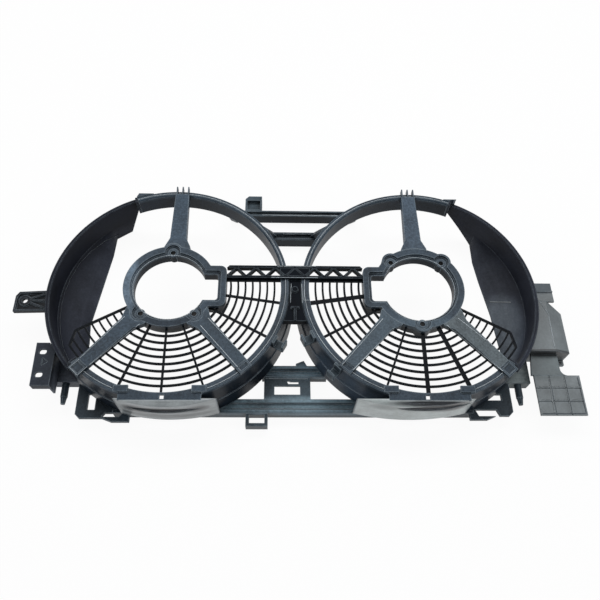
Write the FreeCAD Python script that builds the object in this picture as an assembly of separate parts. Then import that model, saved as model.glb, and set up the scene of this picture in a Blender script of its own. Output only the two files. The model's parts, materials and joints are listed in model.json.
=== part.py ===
import FreeCAD, Part
import math
import os

# Twin radiator fan shroud, in millimetres. It lies on its radiator face with the engine side
# up: +X runs along the radiator, +Y towards its top tank and +Z towards the engine.
# Each fan side is drawn in its own frame: fan axis at x = y = 0, +x towards the other fan.

# Layout of the two fans
FAN_SPACING = 314.0
FAN_GAP = 15.0
RIM_Z = 71.0
WALL = 2.5

# Fan ring
LIP_W = 7.5
LIP_T = 3.0
LIP_DROP = 5.0
LIP_ROUND = 2.0
THROAT_DEPTH = 26.0
SHELF_W = 2.7
SHELF_DROP = 1.5
SKIRT_LEAN = 5.5
SKIRT_RIDGE = 1.2
RING_END = -136.0
SHELF_END = 9.0
OPEN_END = 112.0
CHORD_OUT = 6.5
APRON_W = 96.0
DRAIN_HOLE = 5.0
DRAIN_INSET = 3.0
TAB_X = 45.0
TAB_W = 17.0
TAB_L = 8.0
TAB_REACH = 5.0
TAB_H = 3.0

# Outer side wall and plenum. An edge lists the corners of the opening at the radiator as
# (share of the way round the wall, share of the wall's radius).
SIDE_RIM_DROP = 11.0
SIDE_SETBACK = 9.0
SIDE_LIP_W = 5.5
SIDE_DEPTH = 36.0
JOINT_T = 3.0
LEFT_PLENUM_EDGE = ((0.07, 1.0), (0.15, 1.0), (0.226, 0.868), (0.70, 0.76), (0.813, 0.795),
                    (0.97, 1.0))
RIGHT_PLENUM_EDGE = ((0.172, 0.993), (0.25, 0.854), (0.37, 0.762), (0.62, 0.742),
                     (0.793, 0.821), (0.93, 1.0))
LEFT_GUSSET = (-54.0, 3.5)
RIGHT_GUSSET = (-66.0, -0.5)

# Motor ring and its three screws
MOTOR_BORE_R = 45.5
MOTOR_RING_W = 12.0
MOTOR_RISE = 4.0
MOTOR_DEPTH = 18.0
LEDGE_W = 3.5
LEDGE_DROP = 4.0
LOBE_REACH = 70.5
LOBE_HALF = 29.0
LOBE_RIM = 10.5
LOBE_ROUND = 8.0
GROOVE_W = 4.0
SCREW_CIRCLE_R = 50.2
SCREW_SPREAD = 40.7
SCREW_R = 3.25
SCREW_PAD_R = 12.0
BOSS_R = 6.0
BOSS_FIT = 0.15

# Arms
ARM_AXIS = 41.5
ARM_W_HUB = 20.0
OUTER_ARM_W_RIM = 16.0
INNER_ARM_W_RIM = 17.0
ARM_FLARE = 6.0
ARM_FLARE_L = 13.0
TOP_ARM_W_HUB = 21.0
TOP_ARM_W_RIM = 18.0
LEFT_TOP_ARM_SHIFT = 5.2
RIGHT_TOP_ARM_SHIFT = 1.5
ARM_RIM_RISE = 2.5
ARM_SKIN = 2.5
TOP_ARM_DEPTH = 8.0
FOOT_H = 2.5
FOOT_POCKET = 1.7
OUTER_FOOT_REACH = 5.0
FIN_W = 1.6
FIN_PITCH = 7.6
FIN_H = 3.0
FIN_REACH = 5.5

# Finger guards
GUARD_T = 3.0
GUARD_FIRST = 8.1
GUARD_PITCH = 9.15
GUARD_COUNT = 8
BAR_W = 2.4
GUARD_LAP = 2.0
RIB_W = 2.6
BROAD_RIB_W = 4.6
BOTTOM_RIBS = (-110.5, -89.5, -69.3)
INNER_RIBS = (-8.5, -28.9)
RIGHT_BROAD_RIBS = (-110.5, -89.5, -8.5)
OUTER_EDGE = -151.0
OUTER_KNEE = -144.1
OUTER_CORNER = 0.892

# Beam and web between the fans
BEAM_Y = 12.5
BEAM_W = 18.0
BEAM_CHORD = 3.2
BEAM_DROP = 1.0
BEAM_H = 8.0
BORDER_LAP = 2.5
TRUSS_BARS = 14
TRUSS_BAR_W = 2.6
WEB_W = 38.0
WEB_BOTTOM_Y = -46.0
WEB_RECESS = 2.0
WEB_DEPTH = 12.0
WEB_BOSS_R = 4.0
WEB_BOSS_Y = -2.5
WEB_LEDGE_Y = -29.5
WEB_RISE = 1.0

# Rails on the radiator face, placed from the throats
RAIL_H = 17.0
TOP_RAIL_OUT = 7.0
TOP_RAIL_W = 9.5
SECOND_RAIL_IN = 34.0
SECOND_RAIL_W = 13.0
BOTTOM_RAIL_OUT = 4.5
BOTTOM_RAIL_W = 18.0
BOTTOM_RAIL_REACH = 65.0
CROSSBAR_IN = 43.0
CROSSBAR_W = 15.0
RAIL_CHANNEL = 4.0
STAY_OUT = 28.0
STAY_T = 10.0
STAY_FOOT = 10.0
STAY_HEAD = 12.0
TAB_PLAN = ((2.0, 0.0), (2.0, 3.0), (12.0, 7.0), (16.0, 0.0))
TAB_T = 5.0
POST_X = -70.0
POST_W = 24.0
POST_L = 25.5
POST_CHAMFER = 5.0
POST_POCKET = 6.0
CLIP_X = -60.0
CLIP_W = 27.0
CLIP_L = 16.5
CLIP_BAR = 4.0
CLIP_FOOT_Z = 4.0
BRACKET_X = -38.0
BRACKET_W = 58.0
BRACKET_WINDOW_W = 32.0
BRACKET_WINDOW_H = 11.0
BRACKET_WINDOW_UP = 6.0
BRACKET_SLOT = (1.0, 14.0, 20.0, 23.0)
BRACKET_DOT_R = 1.6
BRACKET_DOT_IN = 7.0

# Slotted frames at the lower corners. A slot is (from the outer edge, from the top, width,
# length) and a lug is (from the end of the rail, length below the rail).
LEFT_CORNER_W = 45.0
RIGHT_CORNER_W = 50.0
CORNER_SHOULDER = 26.0
CORNER_SLOPE = 18.0
CORNER_CUT = 5.0
CORNER_T = 5.0
LEFT_CORNER_L = 46.0
RIGHT_CORNER_L = 42.5
LUG_W = 21.5
LUG_SLANT = 12.0
LEFT_LUG = (21.0, 11.0)
RIGHT_LUG = (5.0, 8.0)
LEFT_SLOT = (13.5, 15.3, 9.5, 20.2)
RIGHT_SLOT = (12.0, 14.5, 18.0, 8.0)
LEFT_WINDOW = (-9.0, 12.5, 4.9)
RIGHT_WINDOW = (-29.5, -2.3, 3.4)
WINDOW_SLANT = 4.0

# Bottom covers below the fans. A cover is (half length, offset), a lens (half length, offset,
# height of its middle).
LEFT_COVER = (60.0, 6.0)
RIGHT_COVER = (70.0, 16.0)
COVER_BULGE = 8.5
COVER_WALL = 3.5
COVER_FALL = 7.0
LEFT_LENS = (44.0, 1.5, 49.0)
RIGHT_LENS = (46.0, -7.5, 57.0)
LENS_STAND_OFF = 4.0
LENS_H = 16.0
LENS_DEPTH = 2.2

# Left mounting ear and lower bracket
EAR_REACH = 42.5
EAR_LAP = 30.0
EAR_Y = -23.0
EAR_W = 32.0
EAR_TOP_Z = 46.0
EAR_T = 6.0
EAR_FLOOR = 2.5
EAR_HOLE_R = 3.5
EAR_HOLE_IN = 12.0
EAR_HOLE_Y = -7.0
EAR_BOSS_R = 7.5
EAR_SLANT = 2.0
EAR_CUT = 4.0
EAR_RIB_ANGLES = (-22.0, 0.0, 22.0)
EAR_RIB_L = 60.0
BRACKET_REACH = 4.5
STRIP_TOP_Z = 45.0
STRIP_W = 24.0
STRIP_TOP_Y = -66.0
STRIP_END_Y = -122.0
STRIP_CUT = 8.0
STRIP_END_H = 12.0
STRIP_HOLE_W = 9.0
STRIP_HOLE_H = 6.5
STRIP_HOLE_X = 9.5
STRIP_HOLE_TOP = 12.0
STRIP_HOLE_END = 14.0
STRIP_MARK = ((1.0, -20.0), (8.0, -25.0), (1.0, -30.0))
STRIP_MARK_DEPTH = 1.2

# Side panels, pegs and wire guides
PANEL_TOP_Z = 18.0
PANEL_T = 3.0
PANEL_W = 35.0
PANEL_OUT = 1.0
PANEL_TOP_Y = -60.0
PANEL_END_IN = 35.0
PEG_INSET = 15.0
PEG_Z = 12.0
PEG_R = 4.4
PEG_TIP_R = 2.8
PEG_L = 18.0
PEG_TIP_L = 9.0
PEG_TIP_SIDES = 8
PEG_STEP = 0.2
GUIDE_W = 11.0
GUIDE_H = 14.0
GUIDE_REACH = 15.0
LEFT_GUIDES = (-28.5,)
RIGHT_GUIDES = (-25.5, -45.0)

# Duct cover and deflector on the right
DUCT_TOP_Z = 40.0
DUCT_H = 35.0
DUCT_REACH = 38.5
DUCT_TOP_Y = 0.0
DUCT_END_Y = -72.0
DUCT_CREASE_IN = 20.0
DUCT_SLOPE_DROP = 8.0
DUCT_CUT = 16.0
HOOK_W = 9.0
HOOK_L = 7.0
HOOK_T = 5.0
HOOK_HOLE_R = 1.5
PLATE_T = 3.0
NECK_TOP_Z = 30.0
NECK_W = 34.0
NECK_L = 29.0
NECK_SLANT = 4.0
NECK_FILLET = 9.0
NECK_SETBACK = 23.0
DEFLECTOR_REACH = 7.0
DEFLECTOR_W = 58.0
DEFLECTOR_L = 52.0
DEFLECTOR_CELLS = 3
SCORE_W = 1.2
SCORE_DEPTH = 0.8
UPPER_PLATE_INSET = 8.0
UPPER_PLATE_L = 28.0
UPPER_PLATE_DROP = 2.0
UPPER_RIB_W = 2.0
UPPER_RIB_H = 1.5

# Sizes that follow from the ones above
HALF = FAN_SPACING / 2.0
THROAT_R = HALF - FAN_GAP
LIP_R = THROAT_R + LIP_W
SHELF_R = THROAT_R - SHELF_W
SKIRT_R = LIP_R + SKIRT_LEAN
CHORD_DROP = THROAT_R + CHORD_OUT
GUARD_TOP = RIM_Z - SHELF_DROP
GUARD_Z = GUARD_TOP - GUARD_T
RING_FOOT_Z = RIM_Z - THROAT_DEPTH
SIDE_R = THROAT_R + SIDE_SETBACK
SIDE_LIP_R = SIDE_R + SIDE_LIP_W
SIDE_RIM_Z = RIM_Z - SIDE_RIM_DROP
FULL_TURN = 360.0
SIDE_END = FULL_TURN + RING_END
MOTOR_R = MOTOR_BORE_R + MOTOR_RING_W
MOTOR_TOP_Z = RIM_Z + MOTOR_RISE
MOTOR_BASE_Z = MOTOR_TOP_Z - MOTOR_DEPTH
LEDGE_Z = MOTOR_TOP_Z - LEDGE_DROP
BEAM_TOP_Z = MOTOR_TOP_Z - BEAM_DROP
BEAM_BOTTOM_Z = BEAM_TOP_Z - BEAM_H
LEFT_SCREWS = (90.0, -90.0 - SCREW_SPREAD, -90.0 + SCREW_SPREAD)
RIGHT_SCREWS = (-90.0, 90.0 - SCREW_SPREAD, 90.0 + SCREW_SPREAD)
TOP_RAIL_Y = THROAT_R + TOP_RAIL_OUT
SECOND_RAIL_Y = THROAT_R - SECOND_RAIL_IN
BOTTOM_RAIL_Y = -THROAT_R - BOTTOM_RAIL_OUT
BOTTOM_RAIL_HALF = HALF + BOTTOM_RAIL_REACH
CROSSBAR_Y = CROSSBAR_IN - THROAT_R
STAY_R = THROAT_R + STAY_OUT
POST_END_Y = TOP_RAIL_Y + TOP_RAIL_W + POST_L
CLIP_END_Y = BOTTOM_RAIL_Y - CLIP_L
PANEL_EDGE_X = THROAT_R + PANEL_OUT
PANEL_END_Y = PANEL_END_IN - THROAT_R
EAR_TIP_X = -HALF - SIDE_LIP_R - EAR_REACH
EAR_HOLE_X = EAR_TIP_X + EAR_HOLE_IN
BRACKET_TIP_X = -HALF - SIDE_LIP_R - BRACKET_REACH
DUCT_EDGE_X = HALF + SIDE_LIP_R + DUCT_REACH
DUCT_CREASE_X = DUCT_EDGE_X - DUCT_CREASE_IN
DEFLECTOR_EDGE_X = DUCT_EDGE_X + DEFLECTOR_REACH
CENTRE_X = (EAR_TIP_X + DEFLECTOR_EDGE_X) / 2.0
CENTRE_Y = (CLIP_END_Y + POST_END_Y) / 2.0
TALL = 4.0 * RIM_Z

UP = FreeCAD.Vector(0, 0, 1)


def vec(x, y, z=0.0):
    return FreeCAD.Vector(x, y, z)


def polar(radius, angle, z=0.0):
    a = math.radians(angle)
    return vec(radius * math.cos(a), radius * math.sin(a), z)


def box(x0, x1, y0, y1, z0, z1):
    return Part.makeBox(x1 - x0, y1 - y0, z1 - z0, vec(x0, y0, z0))


def prism(outline, z0, z1):
    """A straight-sided block over an outline given as (x, y) points."""
    points = [vec(x, y, z0) for x, y in outline]
    face = Part.Face(Part.makePolygon(points + points[:1]))
    return face.extrude(vec(0, 0, z1 - z0))


def tube(radius, bore, z0, z1, x=0.0, y=0.0):
    outer = Part.makeCylinder(radius, z1 - z0, vec(x, y, z0))
    return outer.cut(Part.makeCylinder(bore, z1 - z0 + 2.0, vec(x, y, z0 - 1.0)))


def disc(radius, z0, z1, x=0.0, y=0.0):
    return Part.makeCylinder(radius, z1 - z0, vec(x, y, z0))


def sector(r0, r1, a0, a1, z0, z1):
    """An arc-shaped bar between two radii and two angles."""
    outer = Part.makeCylinder(r1, z1 - z0, vec(0, 0, z0), UP, a1 - a0)
    inner = Part.makeCylinder(r0, z1 - z0, vec(0, 0, z0), UP, a1 - a0)
    bar = outer.cut(inner)
    bar.rotate(vec(0, 0), UP, a0)
    return bar


def revolved(profile, a0, a1):
    """Revolve a profile of (r, z) points about the fan axis from a0 to a1 degrees."""
    points = [vec(r, 0, z) for r, z in profile]
    face = Part.Face(Part.makePolygon(points + points[:1]))
    solid = face.revolve(vec(0, 0), UP, a1 - a0)
    solid.rotate(vec(0, 0), UP, a0)
    return solid


def radial(angle, r0, r1, width, z0, z1):
    """A straight bar along a radius of the fan."""
    bar = box(r0, r1, -width / 2.0, width / 2.0, z0, z1)
    bar.rotate(vec(0, 0), UP, angle)
    return bar


def rounded_block(x0, x1, half, z0, z1, radius):
    """A block with its two corners at x1 rounded."""
    block = box(x0, x1, -half, half, z0, z1)
    corners = [e for e in block.Edges
               if abs(e.CenterOfMass.x - x1) < 1e-6 and abs(e.CenterOfMass.z - (z0 + z1) / 2.0) < 1e-6]
    return block.makeFillet(radius, corners)


def fused(shapes):
    whole = shapes[0].fuse(list(shapes[1:])) if len(shapes) > 1 else shapes[0]
    return whole.removeSplitter()


def trimmed(piece, *carriers):
    """The piece cut back to the faces of what carries it."""
    for carrier in carriers:
        piece = piece.cut(carrier)
    return piece.removeSplitter()


def main_solid(shape):
    return max(shape.Solids, key=lambda s: s.Volume)


def left(shape):
    placed = shape.copy()
    placed.translate(vec(-HALF, 0))
    return placed


def right(shape):
    placed = shape.mirror(vec(0, 0), vec(1, 0, 0))
    placed.translate(vec(HALF, 0))
    return placed


def arc_points(radius, a0, a1, x, y):
    """Three points of a quarter round, for a profile."""
    return [(x + radius * math.cos(math.radians(a)), y + radius * math.sin(math.radians(a)))
            for a in (a0, (a0 + a1) / 2.0, a1)]


# Fan ring

def crest_points():
    """The rolled outer corner of the lip."""
    return arc_points(LIP_ROUND, 90.0, 0.0, LIP_R - LIP_ROUND, RIM_Z - LIP_ROUND)


def open_stretch():
    """The ring over the open half: a short throat under a rolled lip."""
    profile = [(THROAT_R, RING_FOOT_Z), (THROAT_R, RIM_Z - LIP_ROUND), (THROAT_R + LIP_ROUND, RIM_Z)]
    profile += crest_points()
    profile += [(LIP_R, RIM_Z - LIP_DROP), (LIP_R - WALL, RIM_Z - LIP_DROP),
                (LIP_R - WALL, RIM_Z - LIP_T), (THROAT_R + WALL, RIM_Z - LIP_T),
                (THROAT_R + WALL, RING_FOOT_Z)]
    return revolved(profile, SHELF_END, OPEN_END)


def guarded_stretch():
    """The ring round the guards: a shelf that rises to the lip, over a leaning, ridged skirt."""
    drop = RIM_Z - LIP_DROP
    ridge_z = (drop + RAIL_H) / 2.0
    ridge_r = (LIP_R + SKIRT_R) / 2.0
    profile = [(SHELF_R, GUARD_Z), (SHELF_R, GUARD_TOP)]
    profile += crest_points()
    profile += [(LIP_R, drop), (ridge_r, ridge_z + SKIRT_RIDGE), (ridge_r + SKIRT_RIDGE, ridge_z),
                (ridge_r, ridge_z - SKIRT_RIDGE), (SKIRT_R, RAIL_H), (SKIRT_R - WALL, RAIL_H),
                (LIP_R - WALL, GUARD_Z)]
    return revolved(profile, RING_END, SHELF_END)


def apron():
    """The flat that fills the shelf out to the straight bottom edge, for the bottom cover."""
    half = APRON_W / 2.0
    flat = box(-half, half, -CHORD_DROP, -SHELF_R / 2.0, GUARD_Z, GUARD_TOP)
    return flat.cut(disc(SHELF_R, 0.0, TALL))


def raised_tab(side):
    """A raised pad at one end of the flat, which reaches in over the guard."""
    x = side * TAB_X
    pad = box(x - TAB_W / 2.0, x + TAB_W / 2.0, -SHELF_R, -SHELF_R + TAB_L, GUARD_TOP,
              GUARD_TOP + TAB_H)
    return pad.cut(disc(SHELF_R - TAB_REACH, 0.0, TALL))


def fan_ring():
    ring = fused([guarded_stretch(), open_stretch()])
    beyond = SKIRT_R + SKIRT_RIDGE
    half = APRON_W / 2.0
    chord = box(-beyond, beyond, -2.0 * beyond, -CHORD_DROP, 0.0, TALL)
    lowered = box(-half, half, -beyond, -SHELF_R / 2.0, GUARD_TOP, TALL)
    y = -SHELF_R - DRAIN_INSET
    hole = box(0.0, DRAIN_HOLE, y - DRAIN_HOLE, y, 0.0, TALL)
    ring = ring.cut(chord).cut(lowered).fuse(apron()).cut(hole)
    for side in (-1, 1):
        ring = ring.fuse(raised_tab(side))
    return main_solid(ring.removeSplitter())


# Side wall

def plenum_piece(start, end):
    """One ruled stretch of wall from an arc at the foot of the barrel to an edge below."""
    r0 = SIDE_R
    r1 = r0 + WALL
    z = SIDE_RIM_Z - SIDE_DEPTH
    a0, foot_r0 = start
    a1, foot_r1 = end
    mid = (a0 + a1) / 2.0
    top = Part.Wire([Part.Arc(polar(r0, a0, z), polar(r0, mid, z), polar(r0, a1, z)).toShape(),
                     Part.makeLine(polar(r0, a1, z), polar(r1, a1, z)),
                     Part.Arc(polar(r1, a1, z), polar(r1, mid, z), polar(r1, a0, z)).toShape(),
                     Part.makeLine(polar(r1, a0, z), polar(r0, a0, z))])
    foot = Part.makePolygon([polar(foot_r0, a0), polar(foot_r1, a1), polar(foot_r1 + WALL, a1),
                             polar(foot_r0 + WALL, a0), polar(foot_r0, a0)])
    return Part.makeLoft([top, foot], True, True)


def upper_joint():
    """The radial plate that closes the step between the open stretch and the side wall."""
    span = math.degrees(JOINT_T / SIDE_R)
    profile = [(THROAT_R, RING_FOOT_Z), (THROAT_R, RIM_Z), (LIP_R, RIM_Z), (SIDE_LIP_R, SIDE_RIM_Z),
               (SIDE_LIP_R, SIDE_RIM_Z - LIP_T), (SIDE_R + WALL, SIDE_RIM_Z - LIP_T),
               (SIDE_R + WALL, RING_FOOT_Z)]
    return revolved(profile, OPEN_END, OPEN_END + span)


def lower_joint():
    """The radial plate that closes the step between the guarded stretch and the side wall."""
    span = math.degrees(JOINT_T / SIDE_R)
    foot = SIDE_RIM_Z - SIDE_DEPTH
    profile = [(SHELF_R, GUARD_Z), (SHELF_R, GUARD_TOP), (LIP_R, RIM_Z), (SIDE_LIP_R, SIDE_RIM_Z),
               (SIDE_LIP_R, SIDE_RIM_Z - LIP_T), (SIDE_R + WALL, SIDE_RIM_Z - LIP_T),
               (SIDE_R + WALL, foot), (SIDE_R, foot)]
    return revolved(profile, SIDE_END - span, SIDE_END)


def side_wall(edge):
    """The tall outer wall: thin rim, deep barrel and the plenum drawn in to the radiator."""
    r0 = SIDE_R
    r1 = r0 + WALL
    top = SIDE_RIM_Z
    foot = top - SIDE_DEPTH
    barrel = revolved([(r0, foot), (r0, top - 1.0), (r0 + 1.0, top), (SIDE_LIP_R - 1.0, top),
                       (SIDE_LIP_R, top - 1.0), (SIDE_LIP_R, top - LIP_T), (r1, top - LIP_T),
                       (r1, foot)], OPEN_END, SIDE_END)
    corners = [(OPEN_END + share * (SIDE_END - OPEN_END), radius * SIDE_R) for share, radius in edge]
    first = corners[0][0]
    last = corners[-1][0]
    pieces = [plenum_piece(a, b) for a, b in zip(corners, corners[1:])]
    shoulder = sector(r0, r1, OPEN_END, first, 0.0, foot)
    leg = sector(r0, r1, last, SIDE_END, 0.0, foot)
    high = polar(r1, OPEN_END)
    low = polar(r0, first)
    rise = [vec(high.x + 2.0, 0, -1.0), vec(high.x + 2.0, 0, RING_FOOT_Z),
            vec(high.x, 0, RING_FOOT_Z), vec(low.x, 0, -1.0)]
    slope = Part.Face(Part.makePolygon(rise + rise[:1])).extrude(vec(0, SIDE_LIP_R, 0))
    wall = fused([barrel, shoulder, leg] + pieces).cut(slope)
    wall = fused([wall, upper_joint(), lower_joint()])
    return main_solid(wall)


def upper_gusset(corner, wall):
    """The flat-topped corner that fills the ring out beside the top arm."""
    x0, rise = corner
    y1 = THROAT_R + rise
    x1 = -math.sqrt(LIP_R ** 2 - y1 ** 2)
    inner = polar(THROAT_R, OPEN_END)
    outer = polar(SIDE_R, OPEN_END)
    block = prism([(x0, y1), (x1, y1), (inner.x, inner.y), (outer.x, outer.y)], RING_FOOT_Z, RIM_Z)
    return main_solid(trimmed(block, disc(LIP_R, 0.0, TALL), wall))


# Motor ring

def motor_outline(z0, z1, screws):
    parts = [disc(MOTOR_R, z0, z1), rounded_block(0.0, LOBE_REACH, LOBE_HALF, z0, z1, LOBE_ROUND)]
    for angle in screws:
        centre = polar(SCREW_CIRCLE_R, angle)
        parts.append(disc(SCREW_PAD_R, z0, z1, centre.x, centre.y))
    return fused(parts)


def motor_opening(z0, z1, margin=0.0):
    bore = disc(MOTOR_BORE_R + margin, z0, z1)
    side = rounded_block(0.0, LOBE_REACH - LOBE_RIM + margin, LOBE_HALF - LOBE_RIM + margin,
                         z0, z1, LOBE_ROUND / 2.0)
    return fused([bore, side])


def motor_ring(screws):
    """A deep rim with an inner ledge, pockets at the screws and a groove underneath."""
    z0 = MOTOR_BASE_Z
    z1 = MOTOR_TOP_Z
    ring = motor_outline(z0, z1, screws).cut(motor_opening(z0 - 1.0, z1 + 1.0))
    ledge = motor_opening(LEDGE_Z, z1 + 1.0, LEDGE_W)
    ring = ring.cut(ledge)
    groove_r = MOTOR_R - WALL
    groove = tube(groove_r, groove_r - GROOVE_W, z0 - 1.0, LEDGE_Z - WALL)
    for angle in screws:
        centre = polar(SCREW_CIRCLE_R, angle)
        pocket = disc(SCREW_PAD_R - WALL, LEDGE_Z, z1 + 1.0, centre.x, centre.y)
        ring = ring.cut(pocket)
        groove = groove.cut(disc(SCREW_PAD_R, z0 - 2.0, z1, centre.x, centre.y))
    groove = groove.cut(box(0.0, LOBE_REACH, -LOBE_HALF, LOBE_HALF, z0 - 2.0, z1))
    ring = ring.cut(groove)
    for angle in screws:
        centre = polar(SCREW_CIRCLE_R, angle)
        ring = ring.cut(disc(BOSS_R + BOSS_FIT, z0 - 1.0, z1, centre.x, centre.y))
    return main_solid(ring.removeSplitter())


def motor_bosses(screws):
    bosses = []
    for angle in screws:
        centre = polar(SCREW_CIRCLE_R, angle)
        bosses.append(tube(BOSS_R, SCREW_R, MOTOR_BASE_Z, LEDGE_Z, centre.x, centre.y))
    return Part.makeCompound(bosses)


# Arms

def arm_plan(angle, hub_w, rim_w, r_rim, z0, z1):
    """The plan of an arm as a block: flared where it leaves the motor ring, tapered beyond."""
    start = MOTOR_BORE_R
    end = MOTOR_R + ARM_FLARE_L
    h = hub_w / 2.0
    flare = h + ARM_FLARE
    r = rim_w / 2.0
    block = prism([(start, -flare), (start, flare), (MOTOR_R, flare), (end, h), (r_rim, r),
                   (r_rim, -r), (end, -h), (MOTOR_R, -flare)], z0, z1)
    block.rotate(vec(0, 0), UP, angle)
    return block


def arm_side(angle, r_rim, rim_top, hub_top, drop=0.0):
    """The side view of an arm as a wide slab: its top falls from hub to rim."""
    y = -MOTOR_R
    end = 2.0 * r_rim
    rim_z = rim_top - drop
    hub_z = hub_top - drop
    slab = Part.Face(Part.makePolygon([vec(0, y, 0), vec(end, y, 0), vec(end, y, rim_z),
                                       vec(r_rim, y, rim_z), vec(MOTOR_R, y, hub_z),
                                       vec(0, y, hub_z), vec(0, y, 0)]))
    solid = slab.extrude(vec(0, 2.0 * MOTOR_R, 0))
    solid.rotate(vec(0, 0), UP, angle)
    return solid


def arm(angle, hub_w, rim_w, r_rim, bottom_z, hub, shift=0.0):
    """A channel arm, open towards the radiator, with two stiffening webs inside.

    The shift moves a top arm sideways along the radiator.
    """
    rim_top = RIM_Z + ARM_RIM_RISE
    hub_top = MOTOR_TOP_Z
    body = arm_plan(angle, hub_w, rim_w, r_rim, bottom_z, TALL).common(
        arm_side(angle, r_rim, rim_top, hub_top))
    skin = 2.0 * ARM_SKIN
    hollow = arm_plan(angle, hub_w - skin, rim_w - skin, r_rim - ARM_SKIN, 0.0, TALL).common(
        arm_side(angle, r_rim, rim_top, hub_top, ARM_SKIN))
    hollow = hollow.cut(disc(MOTOR_R + ARM_SKIN, 0.0, TALL))
    for k in (1, 2):
        r = MOTOR_R + k * (r_rim - MOTOR_R) / 3.0
        hollow = hollow.cut(radial(angle, r, r + ARM_SKIN, hub_w, 0.0, TALL))
    channel = body.cut(hollow)
    channel.translate(vec(shift, 0))
    return main_solid(trimmed(channel, hub))


def arm_foot(angle, width, reach, carriers):
    """The tray that carries an arm over the lip of the ring."""
    z1 = RIM_Z + FOOT_H
    block = radial(angle, SHELF_R - 1.0, reach, width, GUARD_TOP, z1)
    block = block.cut(disc(SHELF_R, 0.0, TALL))
    tray = radial(angle, SHELF_R + ARM_SKIN, reach - ARM_SKIN, width - 2.0 * ARM_SKIN,
                  z1 - FOOT_POCKET, z1 + 1.0)
    return main_solid(trimmed(block, tray, *carriers))


def top_fins(shift, ring):
    """Three thin upright fins that run over the lip behind the top arm."""
    fins = []
    for k in (-1, 0, 1):
        fin = prism([(THROAT_R + 1.0, -FIN_W / 2.0), (LIP_R + FIN_REACH, -FIN_W / 2.0),
                     (LIP_R + FIN_REACH, FIN_W / 2.0), (THROAT_R + 1.0, FIN_W / 2.0)],
                    RIM_Z - LIP_DROP, RIM_Z + FIN_H)
        fin.translate(vec(0, k * FIN_PITCH - shift))
        fin.rotate(vec(0, 0), UP, 90.0)
        fins.append(main_solid(fin.cut(ring)))
    return Part.makeCompound(fins)


# Finger guards

def guard_blank(a0, a1, ribs, broad=()):
    """Concentric bars and radial ribs between two angles, before trimming."""
    parts = []
    for k in range(1, GUARD_COUNT + 1):
        r = SHELF_R - GUARD_FIRST - (k - 1) * GUARD_PITCH
        parts.append(sector(r - BAR_W / 2.0, r + BAR_W / 2.0, a0, a1, GUARD_Z, GUARD_TOP))
    for rib in ribs:
        width = BROAD_RIB_W if rib in broad else RIB_W
        parts.append(radial(rib, MOTOR_BORE_R, SHELF_R + 2.0, width, GUARD_Z, GUARD_TOP))
    return parts


def guard(parts, keep_out):
    """Fuse the bars and trim them to the pieces that hold them."""
    grid = fused(parts)
    grid = grid.common(disc(SHELF_R, GUARD_Z - 1.0, GUARD_TOP + 1.0))
    grid = grid.cut(keep_out)
    return main_solid(grid.removeSplitter())


def bottom_guard(keep_out, broad):
    a0 = -90.0 - ARM_AXIS + GUARD_LAP
    a1 = -90.0 + ARM_AXIS - GUARD_LAP
    return guard(guard_blank(a0, a1, BOTTOM_RIBS, broad), keep_out)


def inner_guard(keep_out, broad):
    """The guard between the lower inner arm and the beam, closed by a border below the beam."""
    a0 = -90.0 + ARM_AXIS + GUARD_LAP
    border = box(MOTOR_BORE_R, SHELF_R, BEAM_Y - BORDER_LAP, BEAM_Y + BEAM_CHORD, GUARD_Z, GUARD_TOP)
    parts = guard_blank(a0, 2.0 * SHELF_END, INNER_RIBS, broad)
    above = box(0.0, SHELF_R + 5.0, BEAM_Y + BEAM_CHORD, SHELF_R, 0.0, TALL)
    parts = [part.cut(above) for part in parts] + [border]
    return guard(parts, keep_out)


def outer_guard(keep_out):
    """The small guard outside the lower outer arm, with a bent border beside the side wall."""
    a1 = -90.0 - ARM_AXIS - GUARD_LAP
    knee = polar(SHELF_R, OUTER_KNEE)
    corner = polar(OUTER_CORNER * SHELF_R, OUTER_EDGE)
    beyond = polar(SHELF_R, OUTER_EDGE - GUARD_LAP)
    parts = guard_blank(OUTER_EDGE, a1, ())
    parts.append(radial(OUTER_EDGE, MOTOR_BORE_R, OUTER_CORNER * SHELF_R, RIB_W, GUARD_Z, GUARD_TOP))
    run = knee.distanceToPoint(corner)
    border = box(0.0, run, -RIB_W / 2.0, RIB_W / 2.0, GUARD_Z, GUARD_TOP)
    border.rotate(vec(0, 0), UP, math.degrees(math.atan2(corner.y - knee.y, corner.x - knee.x)))
    border.translate(knee)
    outside = prism([(knee.x, knee.y), (corner.x, corner.y), (beyond.x, beyond.y)], 0.0, TALL)
    rim = sector(SHELF_R - RIB_W, SHELF_R, OUTER_KNEE, a1, GUARD_Z, GUARD_TOP)
    parts = [part.cut(outside) for part in parts] + [border, rim]
    return guard(parts, keep_out)


# Beam and web between the fans

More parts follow.
